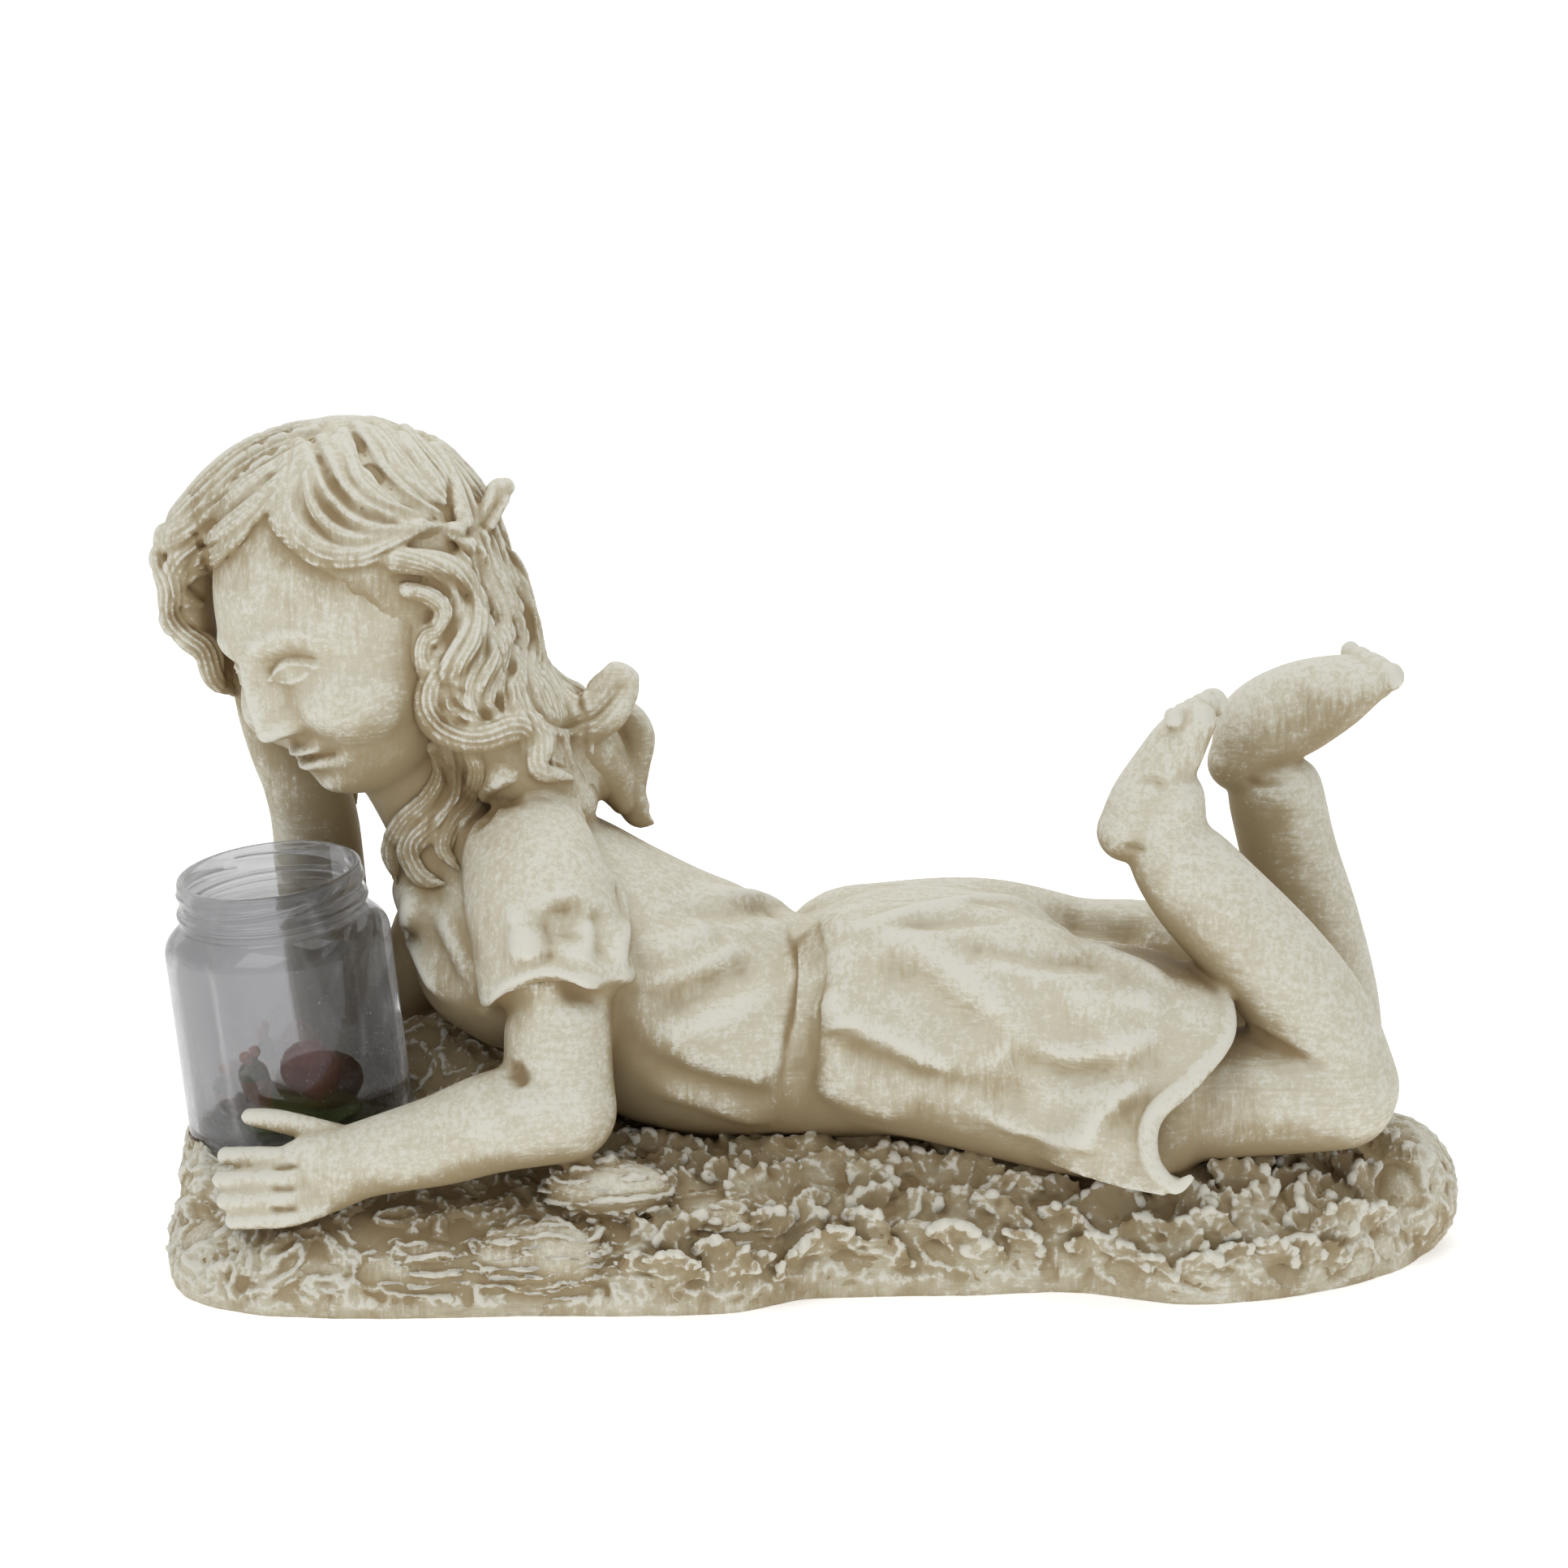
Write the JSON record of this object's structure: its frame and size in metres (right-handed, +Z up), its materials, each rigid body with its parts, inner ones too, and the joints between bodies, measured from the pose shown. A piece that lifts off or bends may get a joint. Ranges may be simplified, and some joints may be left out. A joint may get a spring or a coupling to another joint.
{
  "type": "garden statue",
  "caption": "Cast garden statue of a child in a dress lying on a leafy base with one arm round an open glass jar, which holds a small snail and takes a solar lamp lid",
  "frame": {"origin": "on the ground, in the statue's flat underside, under the middle of the base", "axes": "+X along the base towards the feet, +Y to the back, +Z up"},
  "size_m": [0.419, 0.1625, 0.2682],
  "materials": {
    "antiqued_cream_resin": "cast resin painted cream, brown in the recesses and dry-brushed white on the high points",
    "clear_glass": "clear moulded glass with a few tiny pale specks",
    "painted_snail": "small cast snail, painted red-brown and green, with orange eyes"
  },
  "bodies": {
    "root": {"statue": "antiqued_cream_resin", "glass_jar": "clear_glass", "snail": "painted_snail"}
  },
  "joints": []
}
